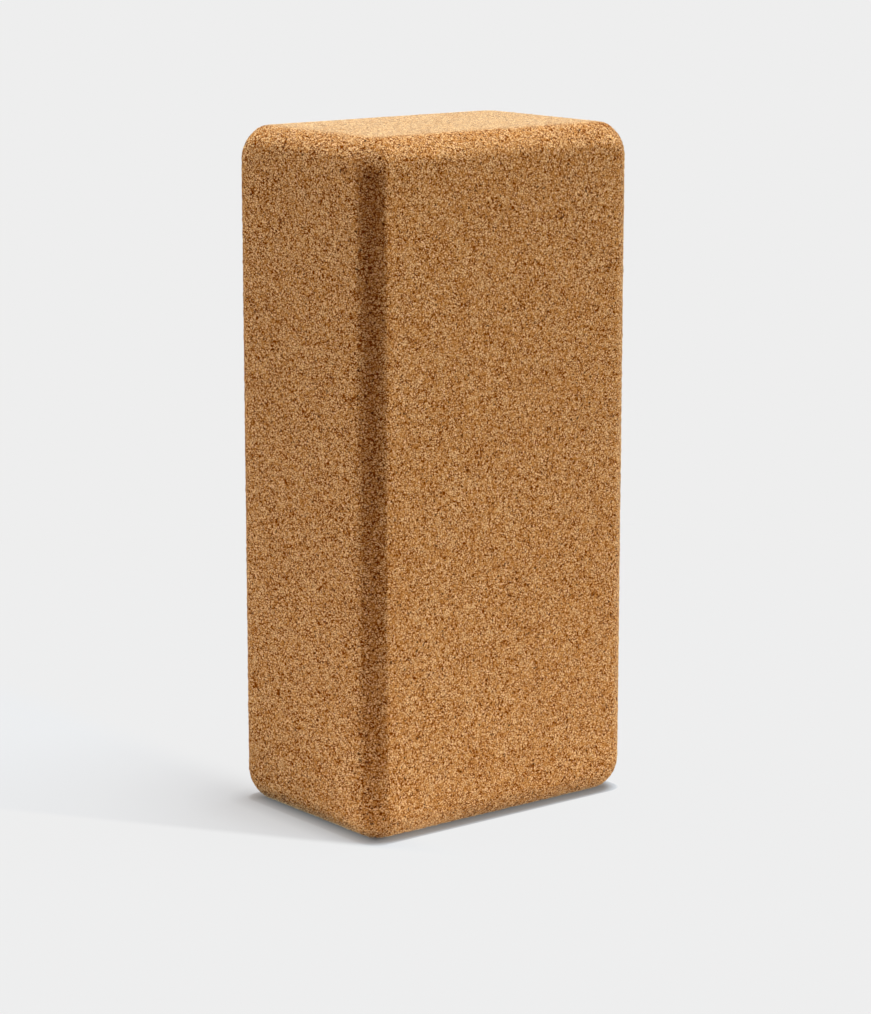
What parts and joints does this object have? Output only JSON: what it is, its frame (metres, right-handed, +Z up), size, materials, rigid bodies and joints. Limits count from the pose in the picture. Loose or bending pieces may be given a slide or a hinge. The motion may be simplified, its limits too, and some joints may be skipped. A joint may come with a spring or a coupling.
{
  "type": "yoga block",
  "caption": "Brick-shaped cork yoga block with rounded edges and corners, a light firm prop to stand, sit or lean on at different heights.",
  "frame": {"origin": "middle of the lower end, on the surface that the block stands on", "axes": "+Z up along the length, +X across the wide faces, +Y through the thickness; the wide face in the picture looks along -Y"},
  "size_m": [0.111, 0.075, 0.2286],
  "materials": {
    "cork": "matte"
  },
  "bodies": {
    "root": {"cork_block": "cork"}
  },
  "joints": []
}
